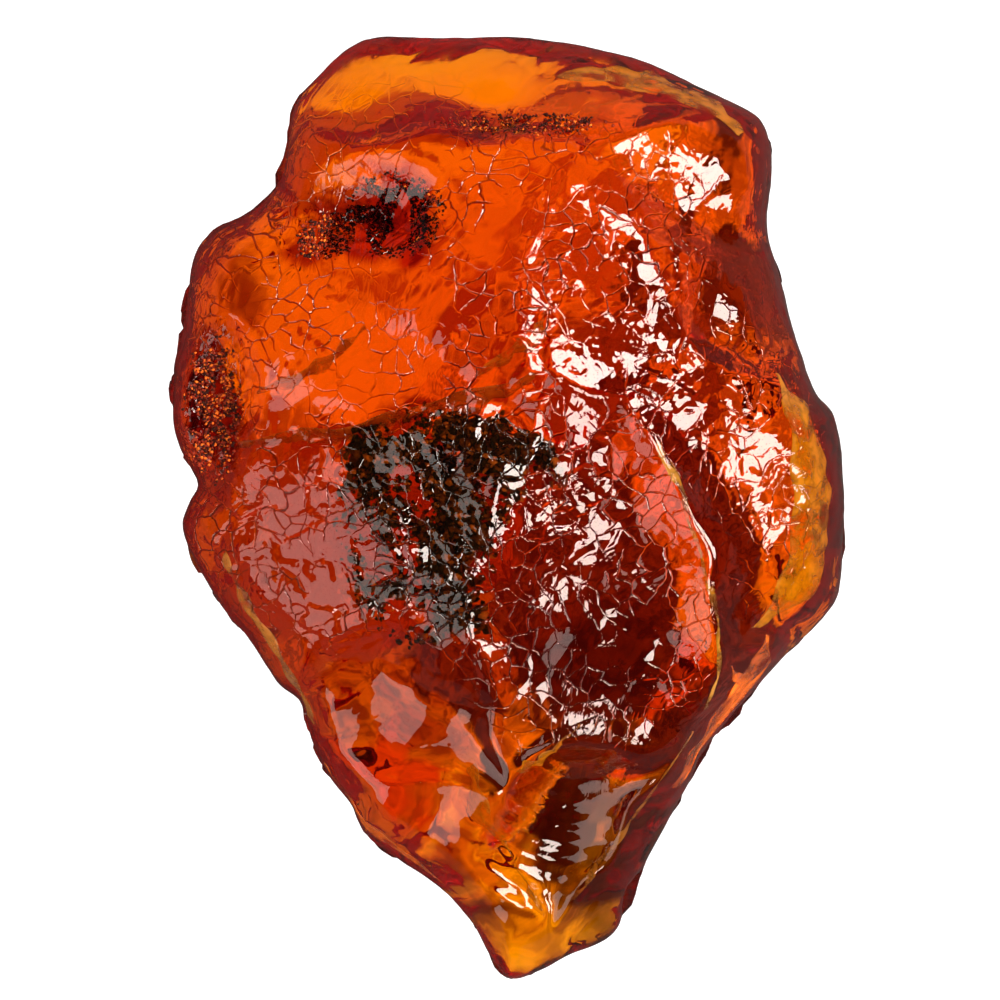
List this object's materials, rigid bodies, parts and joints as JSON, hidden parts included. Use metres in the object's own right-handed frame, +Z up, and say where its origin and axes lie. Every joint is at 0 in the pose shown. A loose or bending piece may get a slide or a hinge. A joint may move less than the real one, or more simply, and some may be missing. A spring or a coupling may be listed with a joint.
{
  "type": "amber nugget",
  "caption": "Worn, polished nugget of raw amber, shield-shaped with a pointed tail, ridged and pitted above, with a small flat spot below on which it lies.",
  "frame": {"origin": "middle of the stone's footprint, on the surface it lies on", "axes": "+X to the right in the picture, +Y from the pointed tail to the blunt head, +Z up, towards the camera"},
  "size_m": [0.0428, 0.06, 0.025],
  "materials": {
    "amber": "polished"
  },
  "bodies": {
    "root": {"amber": "amber"}
  },
  "joints": []
}
